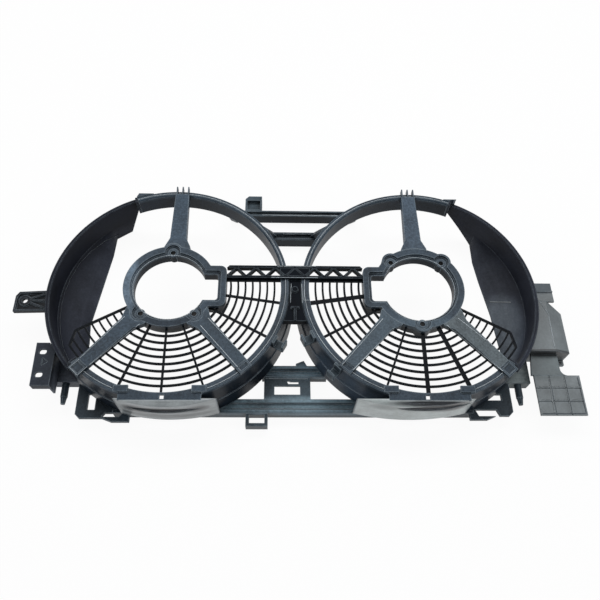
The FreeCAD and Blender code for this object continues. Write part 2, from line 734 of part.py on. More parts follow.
def lattice_beam(rings, neighbours):
    """A truss lying flat: two chords and a zigzag of bars between the motor rings."""
    x1 = HALF - LOBE_REACH
    y0 = BEAM_Y
    y1 = BEAM_Y + BEAM_W
    z0 = BEAM_BOTTOM_Z
    z1 = BEAM_TOP_Z
    lower = box(-x1, x1, y0, y0 + BEAM_CHORD, GUARD_TOP, z1)
    upper = box(-x1, x1, y1 - BEAM_CHORD, y1, z0, z1)
    parts = [lower, upper]
    step = 2.0 * x1 / TRUSS_BARS
    rise = BEAM_W - 2.0 * BEAM_CHORD
    for k in range(TRUSS_BARS):
        xa = -x1 + k * step
        lean = 1 if k % 2 == 0 else -1
        foot_x = xa if lean > 0 else xa + step
        head_x = foot_x + lean * step
        w = TRUSS_BAR_W / 2.0
        parts.append(prism([(foot_x - w, y0 + BEAM_CHORD - 0.5), (foot_x + w, y0 + BEAM_CHORD - 0.5),
                            (head_x + w, y0 + BEAM_CHORD + rise + 0.5),
                            (head_x - w, y0 + BEAM_CHORD + rise + 0.5)], z0, z1))
    parts.append(box(-WEB_W / 2.0, WEB_W / 2.0, y0, y1, z0, z1 - 1.0))
    x_cut = x1 - BEAM_CHORD
    for side in (-1, 1):
        corner = prism([(side * x_cut, y1), (side * x1, y1), (side * x1, y1 - BEAM_CHORD)],
                       z0 - 1.0, z1 + 1.0)
        parts = [part.cut(corner) for part in parts]
    bound = box(-x1, x1, y0, y1, 0.0, TALL)
    return main_solid(trimmed(fused(parts).common(bound), *(rings + neighbours)))


def centre_web(rings):
    """The filler between the two rings in front of the beam, with a boss and a T-shaped rib."""
    y0 = WEB_BOTTOM_Y
    y1 = BEAM_Y
    gap = HALF - math.sqrt(LIP_R ** 2 - y0 ** 2)
    floor = RIM_Z - WEB_RECESS
    top = RIM_Z + WEB_RISE
    filler = prism([(-gap, y0), (gap, y0), (gap, y1), (-gap, y1)], RIM_Z - WEB_DEPTH, floor)
    for side in (-1, 1):
        filler = filler.cut(disc(LIP_R, 0.0, TALL, side * HALF, 0.0))
    boss = disc(WEB_BOSS_R, floor, top, 0.0, WEB_BOSS_Y)
    rib = box(-WALL / 2.0, WALL / 2.0, y0, WEB_LEDGE_Y, floor, top)
    ledge = box(-2.0 * WALL, 2.0 * WALL, WEB_LEDGE_Y, WEB_LEDGE_Y + WALL, floor, top)
    return main_solid(trimmed(fused([filler, boss, rib, ledge]), *rings))


# Rails on the radiator face

def rail_section(y0, width, x0, x1):
    """A stepped rail along x: two upstands with a shallow channel between them."""
    h = RAIL_H
    lip = width / 4.0
    floor = h - RAIL_CHANNEL
    profile = [(y0, 0.0), (y0 + width, 0.0), (y0 + width, h), (y0 + width - lip, h),
               (y0 + width - lip, floor), (y0 + lip, floor), (y0 + lip, h), (y0, h)]
    points = [vec(x0, y, z) for y, z in profile]
    face = Part.Face(Part.makePolygon(points + points[:1]))
    return face.extrude(vec(x1 - x0, 0, 0))


def upper_rail(y0, width):
    """A rail between the two rings that ends on the circle of the stays."""
    half = HALF - math.sqrt(STAY_R ** 2 - (y0 + width / 2.0) ** 2)
    return rail_section(y0, width, -half, half)


def rail_stay(y_mid):
    """A leaning stay from a rail end up to the throat of the ring (fan frame)."""
    angle = math.degrees(math.asin(y_mid / STAY_R))
    r_top = THROAT_R + WALL
    z_top = RIM_Z - LIP_T
    foot = STAY_R + STAY_FOOT - RAIL_CHANNEL
    profile = [vec(r_top, 0, z_top), vec(r_top, 0, z_top - STAY_HEAD), vec(foot - STAY_FOOT, 0, 0),
               vec(foot, 0, 0), vec(foot, 0, RAIL_H), vec(r_top + WALL, 0, z_top)]
    face = Part.Face(Part.makePolygon(profile + profile[:1]))
    solid = face.extrude(vec(0, STAY_T, 0))
    solid.translate(vec(0, -STAY_T / 2.0, 0))
    solid.rotate(vec(0, 0), UP, angle)
    return solid


def top_post(rail):
    y0 = TOP_RAIL_Y + TOP_RAIL_W
    x1 = POST_X + POST_W
    post = prism([(POST_X, y0), (x1, y0), (x1, POST_END_Y), (POST_X + POST_CHAMFER, POST_END_Y),
                  (POST_X, POST_END_Y - POST_CHAMFER)], 0.0, RAIL_H)
    pocket = box(POST_X + WALL, x1 - WALL, y0 + WALL, POST_END_Y - POST_CHAMFER - WALL,
                 RAIL_H - POST_POCKET, RAIL_H + 1.0)
    return main_solid(trimmed(post, pocket, rail))


def bottom_rail():
    rail = rail_section(BOTTOM_RAIL_Y, BOTTOM_RAIL_W, -BOTTOM_RAIL_HALF, BOTTOM_RAIL_HALF)
    return main_solid(rail)


def crossbar():
    """The bar under the skirts of both rings, with a pointed tab on its upper edge."""
    inner = SKIRT_R - WALL
    half = HALF - math.sqrt(inner ** 2 - CROSSBAR_Y ** 2)
    bar = rail_section(CROSSBAR_Y, CROSSBAR_W, -half, half)
    y1 = CROSSBAR_Y + CROSSBAR_W
    tab = prism([(x, y1 + y) for x, y in TAB_PLAN], RAIL_H - TAB_T, RAIL_H)
    bar = fused([bar, tab])
    for side in (-1, 1):
        bar = bar.cut(disc(inner, -1.0, RAIL_H + 1.0, side * HALF, 0.0))
    return main_solid(bar)


def centre_bracket(bar, rail):
    """The plate between crossbar and bottom rail, with a window, a slot and a small hole."""
    x0 = BRACKET_X
    x1 = BRACKET_X + BRACKET_W
    y0 = BOTTOM_RAIL_Y + BOTTOM_RAIL_W
    y1 = CROSSBAR_Y
    plate = box(x0, x1, y0, y1, RAIL_H - WALL, RAIL_H)
    walls = [box(x0, x0 + WALL, y0, y1, 0.0, RAIL_H), box(x1 - WALL, x1, y0, y1, 0.0, RAIL_H)]
    body = fused([plate] + walls)
    wx = (x0 + x1) / 2.0
    window_y = y0 + BRACKET_WINDOW_UP
    window = box(wx - BRACKET_WINDOW_W / 2.0, wx + BRACKET_WINDOW_W / 2.0,
                 window_y, window_y + BRACKET_WINDOW_H, -1.0, RAIL_H + 1.0)
    sx0, sx1, sy0, sy1 = BRACKET_SLOT
    slot = box(wx + sx0, wx + sx1, y0 + sy0, y0 + sy1, -1.0, RAIL_H + 1.0)
    dot = disc(BRACKET_DOT_R, -1.0, RAIL_H + 1.0, wx + BRACKET_DOT_R, y1 - BRACKET_DOT_IN)
    body = body.cut(window).cut(slot).cut(dot)
    return main_solid(trimmed(body, bar, rail))


def rail_clip(rail):
    """A window frame that stands out from the lower edge of the bottom rail."""
    x1 = CLIP_X + CLIP_W
    frame = box(CLIP_X, x1, CLIP_END_Y, BOTTOM_RAIL_Y, CLIP_FOOT_Z, RAIL_H)
    window = box(CLIP_X + CLIP_BAR, x1 - CLIP_BAR, CLIP_END_Y + CLIP_BAR, BOTTOM_RAIL_Y - CLIP_BAR / 2.0,
                 0.0, RAIL_H + 1.0)
    return main_solid(trimmed(frame, window, rail))


def corner_frame(width, length, slot_place, window_place, lug):
    """The slotted frame at a lower corner (fan frame), with a windowed lug below the rail."""
    x1 = -BOTTOM_RAIL_REACH
    x0 = x1 - width
    y_top = PANEL_END_Y
    y_rail = BOTTOM_RAIL_Y
    y_end = y_top - length
    inner = x1 + lug[0]
    outer = inner - LUG_W
    y_lug = y_rail - lug[1]
    body = prism([(x0, y_top), (x0 + CORNER_SHOULDER, y_top), (x1, y_top - CORNER_SLOPE), (x1, y_rail),
                  (inner, y_rail), (inner, y_lug), (outer, y_lug), (outer - LUG_SLANT, y_end),
                  (x0 + CORNER_CUT, y_end), (x0, y_end + CORNER_CUT)], RAIL_H - CORNER_T, RAIL_H)
    slot_in, slot_down, slot_w, slot_l = slot_place
    slot = box(x0 + slot_in, x0 + slot_in + slot_w, y_top - slot_down - slot_l, y_top - slot_down,
               -1.0, RAIL_H + 1.0)
    from_x, to_x, window_l = window_place
    top = y_rail if to_x > 0.0 else y_rail + CORNER_CUT
    window = prism([(x1 + from_x, top), (x1 + to_x, top), (x1 + to_x - WINDOW_SLANT, y_rail - window_l),
                    (x1 + from_x - WINDOW_SLANT, y_rail - window_l)], -1.0, RAIL_H + 1.0)
    return main_solid(trimmed(body, slot, window))


# Bottom covers

def cover_outline(cover, inset, z0, z1):
    """The bowed outline of the cover below a fan, closed by a straight back."""
    half, offset = cover
    y0 = BOTTOM_RAIL_Y
    x0 = offset - half + inset
    x1 = offset + half - inset
    bow = vec(offset, y0 - COVER_BULGE + inset, z0)
    arc = Part.Arc(vec(x0, y0, z0), bow, vec(x1, y0, z0)).toShape()
    back = Part.makeLine(vec(x1, y0, z0), vec(x0, y0, z0))
    return Part.Face(Part.Wire([arc, back])).extrude(vec(0, 0, z1 - z0))


def lens_recess(cover, lens):
    """The eye-shaped hollow that is sunk into the front of the cover."""
    half, offset, z = lens
    y = BOTTOM_RAIL_Y - COVER_BULGE - LENS_STAND_OFF
    upper = Part.Arc(vec(-half, y, z), vec(0, y, z + LENS_H / 2.0), vec(half, y, z))
    lower = Part.Arc(vec(half, y, z), vec(0, y, z - LENS_H / 2.0), vec(-half, y, z))
    eye = Part.Face(Part.Wire([upper.toShape(), lower.toShape()]))
    solid = eye.extrude(vec(0, LENS_STAND_OFF + 2.0 * COVER_BULGE, 0))
    solid.translate(vec(offset, 0, 0))
    return solid.cut(cover_outline(cover, LENS_DEPTH, -1.0, RIM_Z))


def bottom_cover(ring, cover, lens):
    """A bowed wall with a lens-shaped recess and a top that meets the flat of the ring."""
    top = GUARD_TOP
    shell = cover_outline(cover, 0.0, RAIL_H, top)
    hollow = cover_outline(cover, COVER_WALL, RAIL_H - 1.0, top - LIP_T)
    body = shell.cut(hollow)
    far = 2.0 * LIP_R
    fall = [vec(-far, -CHORD_DROP, top), vec(-far, -CHORD_DROP - COVER_BULGE, top),
            vec(-far, -CHORD_DROP - COVER_BULGE, top - COVER_FALL)]
    slope = Part.Face(Part.makePolygon(fall + fall[:1])).extrude(vec(2.0 * far, 0, 0))
    body = body.cut(slope).cut(lens_recess(cover, lens))
    inside = disc(LIP_R, 0.0, TALL).cut(box(-LIP_R, LIP_R, -2.0 * LIP_R, -CHORD_DROP, -1.0, TALL))
    return main_solid(trimmed(body, inside, ring))


# Left ear and bracket

def left_ear(wall_block):
    """The mounting ear: a tray with a bossed hole and ribs fanning to the wall."""
    x1 = -HALF - SIDE_LIP_R + EAR_LAP
    z1 = EAR_TOP_Z
    z0 = z1 - EAR_T
    y1 = EAR_Y + EAR_W
    low = EAR_Y + EAR_SLANT
    corner_x = EAR_TIP_X + EAR_CUT
    corner_y = y1 - EAR_CUT
    side_y = corner_y - EAR_CUT - EAR_SLANT
    body = prism([(EAR_TIP_X, EAR_Y), (x1, low), (x1, y1), (corner_x, corner_y), (EAR_TIP_X, side_y)],
                 z0, z1)
    pocket = prism([(EAR_TIP_X + WALL, EAR_Y + WALL), (x1, low + WALL), (x1, y1 - WALL),
                    (corner_x + EAR_SLANT, corner_y - WALL), (EAR_TIP_X + WALL, side_y - EAR_SLANT)],
                   z0 + EAR_FLOOR, z1 + 1.0)
    boss = disc(EAR_BOSS_R, z0, z1 - 1.0, EAR_HOLE_X, EAR_HOLE_Y)
    body = fused([body.cut(pocket), boss])
    inside = prism([(EAR_TIP_X, EAR_Y), (x1, low), (x1, y1), (EAR_TIP_X, y1)], z0, z1)
    for angle in EAR_RIB_ANGLES:
        rib = box(EAR_BOSS_R - 1.0, EAR_RIB_L, -WALL / 2.0, WALL / 2.0, z0, z1 - 1.0)
        rib.rotate(vec(0, 0), UP, angle)
        rib.translate(vec(EAR_HOLE_X, EAR_HOLE_Y))
        body = body.fuse(rib.common(inside))
    hole = disc(EAR_HOLE_R, z0 - 1.0, z1 + 1.0, EAR_HOLE_X, EAR_HOLE_Y)
    return main_solid(trimmed(body, hole, wall_block))


def lower_bracket(wall_block):
    """The raised strip at the lower left corner: a top plate on a wall that stands on the panel."""
    x0 = BRACKET_TIP_X
    x1 = x0 + STRIP_W
    top = STRIP_TOP_Z
    shoulder_y = STRIP_TOP_Y - STRIP_CUT
    plate = prism([(x0, STRIP_TOP_Y), (x1 - STRIP_CUT, STRIP_TOP_Y), (x1, shoulder_y),
                   (x1, STRIP_END_Y), (x0 + 1.0, STRIP_END_Y)], top - PANEL_T, top)
    wall = box(x1 - WALL, x1, STRIP_END_Y, shoulder_y, PANEL_TOP_Z, top)
    end_wall = box(x0 + 1.0, x1, STRIP_END_Y, STRIP_END_Y + WALL, top - STRIP_END_H, top)
    body = fused([plate, wall, end_wall])
    x = x0 + STRIP_HOLE_X
    for y in (STRIP_TOP_Y - STRIP_HOLE_TOP, STRIP_END_Y + STRIP_HOLE_END):
        hole = box(x - STRIP_HOLE_W / 2.0, x + STRIP_HOLE_W / 2.0, y - STRIP_HOLE_H / 2.0,
                   y + STRIP_HOLE_H / 2.0, 0.0, top + 1.0)
        corners = [e for e in hole.Edges if abs(e.Length - top - 1.0) < 1e-6]
        body = body.cut(hole.makeFillet(STRIP_HOLE_H / 2.0 - 0.2, corners))
    mark = prism([(x + across, STRIP_TOP_Y + down) for across, down in STRIP_MARK],
                 top - STRIP_MARK_DEPTH, top + 1.0)
    return main_solid(trimmed(body, mark, wall_block))


def side_panel(wall_block, ring):
    """The low flange outside the side wall (fan frame), with edge walls down to the radiator."""
    x0 = -PANEL_EDGE_X
    x1 = x0 + PANEL_W
    outline = [(x0, PANEL_TOP_Y), (x0, PANEL_END_Y), (x1, PANEL_END_Y), (x1, PANEL_TOP_Y)]
    plate = prism(outline, PANEL_TOP_Z - PANEL_T, PANEL_TOP_Z)
    outer = box(x0, x0 + WALL, PANEL_END_Y, PANEL_TOP_Y, 0.0, PANEL_TOP_Z)
    end = box(x0, x1, PANEL_END_Y, PANEL_END_Y + WALL, 0.0, PANEL_TOP_Z)
    return main_solid(trimmed(fused([plate, outer, end]), wall_block, ring))


def locating_peg():
    """A peg along the radiator from the panel end (fan frame), with a tapered eight-sided tip."""
    rings = []
    for radius, z in ((PEG_R - PEG_STEP, PEG_L), (PEG_TIP_R, PEG_L + PEG_TIP_L)):
        corners = [polar(radius, k * FULL_TURN / PEG_TIP_SIDES, z) for k in range(PEG_TIP_SIDES)]
        rings.append(Part.makePolygon(corners + corners[:1]))
    peg = fused([Part.makeCylinder(PEG_R, PEG_L), Part.makeLoft(rings, True, True)])
    peg.rotate(vec(0, 0), vec(1, 0), FULL_TURN / 4.0)
    peg.translate(vec(PEG_INSET - PANEL_EDGE_X, PANEL_END_Y, PEG_Z))
    return main_solid(peg)


def wire_guide(angle, carriers):
    """An open clip on the outside of the ring skirt."""
    block = radial(angle, LIP_R - 1.0, LIP_R + GUIDE_REACH, GUIDE_W, RIM_Z - GUIDE_H, RIM_Z)
    slot = radial(angle, LIP_R + WALL, LIP_R + GUIDE_REACH - WALL, GUIDE_W + 2.0,
                  RIM_Z - GUIDE_H + WALL, RIM_Z + 1.0)
    return main_solid(trimmed(block, slot, *carriers))


# Duct cover and deflector

def duct_cover(wall_block, solid=False):
    """The box beside the right fan, with a crease where its top falls away."""
    z0 = DUCT_TOP_Z - DUCT_H
    edge = DUCT_EDGE_X
    x0 = HALF + SIDE_LIP_R - EAR_LAP

    def section(inset):
        points = [vec(x0, DUCT_END_Y + inset, z0 - (1.0 if inset else 0.0)),
                  vec(x0, DUCT_END_Y + inset, DUCT_TOP_Z - inset),
                  vec(DUCT_CREASE_X, DUCT_END_Y + inset, DUCT_TOP_Z - inset),
                  vec(edge - inset, DUCT_END_Y + inset, DUCT_TOP_Z - DUCT_SLOPE_DROP - inset),
                  vec(edge - inset, DUCT_END_Y + inset, z0 - (1.0 if inset else 0.0))]
        face = Part.Face(Part.makePolygon(points + points[:1]))
        return face.extrude(vec(0, DUCT_TOP_Y - DUCT_END_Y - 2.0 * inset, 0))

    body = section(0.0) if solid else section(0.0).cut(section(WALL))
    clip = prism([(DUCT_CREASE_X, DUCT_TOP_Y + 1.0), (edge + 1.0, DUCT_TOP_Y + 1.0),
                  (edge + 1.0, DUCT_TOP_Y - DUCT_CUT)], z0 - 1.0, DUCT_TOP_Z + 1.0)
    return main_solid(trimmed(body, clip, wall_block))


def cover_hook(cover):
    """A small eyelet at the lower corner of the duct cover."""
    x1 = DUCT_EDGE_X
    z0 = DUCT_TOP_Z - DUCT_H
    body = box(x1 - HOOK_W, x1, DUCT_END_Y - HOOK_L, DUCT_END_Y, z0, z0 + HOOK_T)
    hole = disc(HOOK_HOLE_R, z0 - 1.0, z0 + HOOK_T + 1.0, x1 - HOOK_W / 2.0, DUCT_END_Y - HOOK_L / 2.0)
    return main_solid(trimmed(body, hole, cover))


def deflector_neck():
    """The tapering plate between the duct cover and the deflector."""
    x1 = DEFLECTOR_EDGE_X - NECK_SETBACK
    x0 = x1 - NECK_W
    y1 = DUCT_END_Y
    y0 = y1 - NECK_L
    z0 = NECK_TOP_Z - PLATE_T
    r = NECK_FILLET
    bow = r * (1.0 - math.sqrt(0.5))
    foot_x = x0 - NECK_SLANT
    edges = [Part.makeLine(vec(x0, y1, z0), vec(foot_x, y0, z0)),
             Part.makeLine(vec(foot_x, y0, z0), vec(x1 + r, y0, z0)),
             Part.Arc(vec(x1 + r, y0, z0), vec(x1 + bow, y0 + bow, z0),
                      vec(x1, y0 + r, z0)).toShape(),
             Part.makeLine(vec(x1, y0 + r, z0), vec(x1, y1, z0)),
             Part.makeLine(vec(x1, y1, z0), vec(x0, y1, z0))]
    return Part.Face(Part.Wire(edges)).extrude(vec(0, 0, PLATE_T))


def deflector_plate():
    """The air deflector, scored into cells on its engine side."""
    x1 = DEFLECTOR_EDGE_X
    x0 = x1 - DEFLECTOR_W
    y1 = DUCT_END_Y - NECK_L
    y0 = y1 - DEFLECTOR_L
    z1 = NECK_TOP_Z
    plate = box(x0, x1, y0, y1, z1 - PLATE_T, z1)
    for k in range(1, DEFLECTOR_CELLS):
        x = x0 + k * DEFLECTOR_W / DEFLECTOR_CELLS
        y = y0 + k * DEFLECTOR_L / DEFLECTOR_CELLS
        half = SCORE_W / 2.0
        plate = plate.cut(box(x - half, x + half, y0 - 1.0, y1 + 1.0, z1 - SCORE_DEPTH, z1 + 1.0))
        plate = plate.cut(box(x0 - 1.0, x1 + 1.0, y - half, y + half, z1 - SCORE_DEPTH, z1 + 1.0))
    return main_solid(plate)


def upper_plate(wall_block, cover):
    """The small plate above the duct cover, with one cross rib."""
    x1 = DUCT_EDGE_X - UPPER_PLATE_INSET
    x0 = HALF + SIDE_R - WALL
    y0 = DUCT_TOP_Y
    y1 = y0 + UPPER_PLATE_L
    z1 = DUCT_TOP_Z - UPPER_PLATE_DROP
    plate = box(x0, x1, y0, y1, z1 - PLATE_T, z1)
    rib_y = (y0 + y1) / 2.0
    rib = box(x0, x1, rib_y, rib_y + UPPER_RIB_W, z1, z1 + UPPER_RIB_H)
    return main_solid(trimmed(fused([plate, rib]), wall_block, cover))


# The whole shroud

def fan_side(name, place, screws, top_shift, guide_angles, edge, gusset, corner, cover, lens, broad):
    """Every piece that belongs to one fan, placed and named for its side."""
    ring = fan_ring()
    wall = side_wall(edge)
    hub = motor_outline(MOTOR_BASE_Z - 1.0, TALL, screws)
    outer = -90.0 - ARM_AXIS
    inner = -90.0 + ARM_AXIS
    arm_widths = {outer: OUTER_ARM_W_RIM, inner: INNER_ARM_W_RIM}
    reaches = {outer: LIP_R + OUTER_FOOT_REACH, inner: LIP_R}
    feet = [arm_foot(a, w, reaches[a], [ring, wall]) for a, w in arm_widths.items()]
    blocks = [arm_plan(a, ARM_W_HUB, w, SHELF_R + 1.0, 0.0, TALL) for a, w in arm_widths.items()]
    keep_out = fused([hub] + blocks)
    lower = [main_solid(trimmed(arm(a, ARM_W_HUB, w, SHELF_R + 1.0, GUARD_Z, hub), ring, wall, *feet))
             for a, w in arm_widths.items()]
    top = arm(90.0, TOP_ARM_W_HUB, TOP_ARM_W_RIM, THROAT_R + 1.0, RIM_Z - TOP_ARM_DEPTH, hub, top_shift)
    fins = top_fins(top_shift, ring)
    shapes = {"fan_ring": ring, "side_wall": wall, "upper_gusset": upper_gusset(gusset, wall),
              "motor_ring": motor_ring(screws), "motor_bosses": motor_bosses(screws),
              "outer_arm": lower[0], "inner_arm": lower[1],
              "top_arm": main_solid(trimmed(top, ring, fins)),
              "arm_feet": Part.makeCompound(feet), "top_fins": fins,
              "bottom_guard": bottom_guard(keep_out, broad), "inner_guard": inner_guard(keep_out, broad),
              "outer_guard": outer_guard(keep_out), "bottom_cover": bottom_cover(ring, cover, lens),
              "wire_guides": Part.makeCompound([wire_guide(a, [ring] + feet) for a in guide_angles]),
              "locating_peg": locating_peg()}
    barrel = disc(SIDE_R + WALL, -1.0, SIDE_RIM_Z - LIP_T)
    shapes["side_panel"] = side_panel(barrel, ring)
    frame = trimmed(corner_frame(*corner), cover_outline(cover, 0.0, -1.0, RIM_Z), wall)
    shapes["corner_frame"] = main_solid(frame)
    nodes = {"%s_%s" % (name, key): place(shape) for key, shape in shapes.items()}
    envelope = place(fused([barrel, disc(SIDE_LIP_R, SIDE_RIM_Z - LIP_T, SIDE_RIM_Z + 1.0)]))
    return nodes, place(hub), envelope


def build():
    left_corner = (LEFT_CORNER_W, LEFT_CORNER_L, LEFT_SLOT, LEFT_WINDOW, LEFT_LUG)
    right_corner = (RIGHT_CORNER_W, RIGHT_CORNER_L, RIGHT_SLOT, RIGHT_WINDOW, RIGHT_LUG)
    nodes, hub_l, envelope_l = fan_side("left", left, LEFT_SCREWS, LEFT_TOP_ARM_SHIFT, LEFT_GUIDES,
                                        LEFT_PLENUM_EDGE, LEFT_GUSSET, left_corner, LEFT_COVER,
                                        LEFT_LENS, ())
    right_nodes, hub_r, envelope_r = fan_side("right", right, RIGHT_SCREWS, RIGHT_TOP_ARM_SHIFT,
                                              RIGHT_GUIDES, RIGHT_PLENUM_EDGE, RIGHT_GUSSET,
                                              right_corner, RIGHT_COVER, RIGHT_LENS,
                                              RIGHT_BROAD_RIBS)
    nodes.update(right_nodes)
    rings = [nodes["left_fan_ring"], nodes["right_fan_ring"]]
    web = centre_web(rings)
    nodes["centre_web"] = web
    guards = [nodes["left_inner_guard"], nodes["right_inner_guard"]]
    nodes["lattice_beam"] = lattice_beam(rings, [hub_l, hub_r, web] + guards)
    top = upper_rail(TOP_RAIL_Y, TOP_RAIL_W)
    second = upper_rail(SECOND_RAIL_Y, SECOND_RAIL_W)
    stays = []
    for y, rail in ((TOP_RAIL_Y + TOP_RAIL_W / 2.0, top),
                    (SECOND_RAIL_Y + SECOND_RAIL_W / 2.0, second)):
        for place, ring in ((left, rings[0]), (right, rings[1])):
            stays.append(main_solid(trimmed(place(rail_stay(y)), rail, ring)))
    rail = bottom_rail()
    bar = crossbar()
    nodes.update({"top_rail": top, "second_rail": second, "top_post": top_post(top),
                  "rail_stays": Part.makeCompound(stays), "bottom_rail": rail, "crossbar": bar,
                  "centre_bracket": centre_bracket(bar, rail), "rail_clip": rail_clip(rail)})
    for name in ("left", "right"):
        frame = nodes[name + "_corner_frame"]
        nodes[name + "_corner_frame"] = main_solid(trimmed(frame, rail))
    nodes["left_ear"] = left_ear(envelope_l)
    nodes["left_lower_bracket"] = lower_bracket(envelope_l)
    duct = duct_cover(envelope_r)
    duct_block = duct_cover(envelope_r, solid=True)
    nodes["right_side_panel"] = main_solid(trimmed(nodes["right_side_panel"], duct_block))
    nodes.update({"duct_cover": duct, "cover_hook": cover_hook(duct),
                  "deflector_neck": deflector_neck(), "deflector_plate": deflector_plate(),
                  "upper_plate": upper_plate(envelope_r, duct)})
    return nodes


os.makedirs("parts", exist_ok=True)
for name, shape in build().items():
    shape.translate(vec(-CENTRE_X, -CENTRE_Y))
    shape.exportStep("parts/%s.step" % name)
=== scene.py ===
import json
import math
import bpy
from mathutils import Matrix, Vector
from mathutils.bvhtree import BVHTree


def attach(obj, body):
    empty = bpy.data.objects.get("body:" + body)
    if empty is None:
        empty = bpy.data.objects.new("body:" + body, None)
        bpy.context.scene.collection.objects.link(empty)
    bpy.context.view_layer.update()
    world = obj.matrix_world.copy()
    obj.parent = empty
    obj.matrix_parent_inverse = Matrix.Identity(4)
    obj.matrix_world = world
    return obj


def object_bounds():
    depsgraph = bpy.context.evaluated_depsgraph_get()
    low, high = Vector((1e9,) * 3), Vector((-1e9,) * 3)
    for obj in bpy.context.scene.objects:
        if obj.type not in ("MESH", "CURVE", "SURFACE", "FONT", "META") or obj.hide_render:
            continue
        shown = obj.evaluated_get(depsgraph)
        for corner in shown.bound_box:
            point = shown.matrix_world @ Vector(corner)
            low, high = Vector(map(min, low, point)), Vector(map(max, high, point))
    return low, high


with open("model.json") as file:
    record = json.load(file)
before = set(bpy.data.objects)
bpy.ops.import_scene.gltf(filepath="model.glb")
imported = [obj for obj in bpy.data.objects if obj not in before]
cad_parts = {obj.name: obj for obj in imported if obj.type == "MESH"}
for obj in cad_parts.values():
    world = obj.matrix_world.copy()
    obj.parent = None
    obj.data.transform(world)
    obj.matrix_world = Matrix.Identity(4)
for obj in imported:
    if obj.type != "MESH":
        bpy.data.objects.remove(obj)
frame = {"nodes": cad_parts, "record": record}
cad_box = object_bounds()

# Camera, in metres and degrees. It looks down on the shroud from the bottom-rail side.
CAMERA_TARGET = Vector((0.0050, -0.0223, 0.0600))
CAMERA_ELEVATION = 61.48
CAMERA_AZIMUTH = -3.92
CAMERA_ROLL = 3.85
CAMERA_DISTANCE = 0.81891
CLIP_START = 0.01
FOCAL_PIXELS = 645.56
FRAME_PIXELS = 600.0
SENSOR_MM = 36.0

UP = Vector((0.0, 0.0, 1.0))
BLACK = (0.0, 0.0, 0.0, 1.0)
WHITE = (1.0, 1.0, 1.0, 1.0)

# The two fan axes, in metres
FAN_X = {"left": -0.1585, "right": 0.1555}
FAN_Y = -0.0105

# Finish of each slot: linear colour, roughness, share of the coarse mottling, wear and painted
# highlight of the edges, specular level, share of the fine speckle. The blue-grey of the ring, arm,
# motor and rail colours is partly the plastic's own tone and partly painted sheen. The pale grey of
# the lower covers is partly their own colour and partly painted reflection of the floor. The last
# three are for the raised lines; the edge and lip finishes are painted highlights.
FINISHES = {
    "ring_plastic": ((0.036, 0.051, 0.068), 0.32, 0.45, 0.95, 0.12, 0.42),
    "wall_plastic": ((0.0105, 0.0125, 0.0190), 0.48, 0.40, 0.50, 0.08, 0.20),
    "arm_plastic": ((0.042, 0.059, 0.077), 0.42, 0.34, 1.00, 0.14, 0.55),
    "motor_plastic": ((0.040, 0.056, 0.074), 0.38, 0.40, 1.00, 0.10, 0.50),
    "guard_plastic": ((0.003, 0.004, 0.006), 0.46, 0.25, 0.10, 0.08, 0.20),
    "beam_plastic": ((0.0035, 0.0055, 0.0090), 0.50, 0.35, 0.50, 0.05, 0.30),
    # Pale grey: partly own colour, partly painted reflection of the floor in front
    "lower_cover_plastic": ((0.320, 0.345, 0.352), 0.36, 0.40, 0.50, 0.50, 0.12),
    "duct_plastic": ((0.157, 0.177, 0.185), 0.42, 0.32, 0.50, 0.40, 0.14),
    "panel_plastic": ((0.022, 0.027, 0.036), 0.44, 0.42, 0.70, 0.12, 0.35),
    "rail_plastic": ((0.046, 0.064, 0.078), 0.36, 0.52, 0.95, 0.12, 0.40),
    # Painted highlights: pale finishes of the raised lines along edges and lips
    "painted_edge_highlight": ((0.480, 0.540, 0.580), 0.30, 0.25, 0.20, 0.50, 0.10),
    "lip_plastic": ((0.300, 0.325, 0.335), 0.34, 0.25, 0.20, 0.45, 0.10),
    "seam_plastic": ((0.055, 0.064, 0.080), 0.36, 0.30, 0.30, 0.40, 0.10),
}
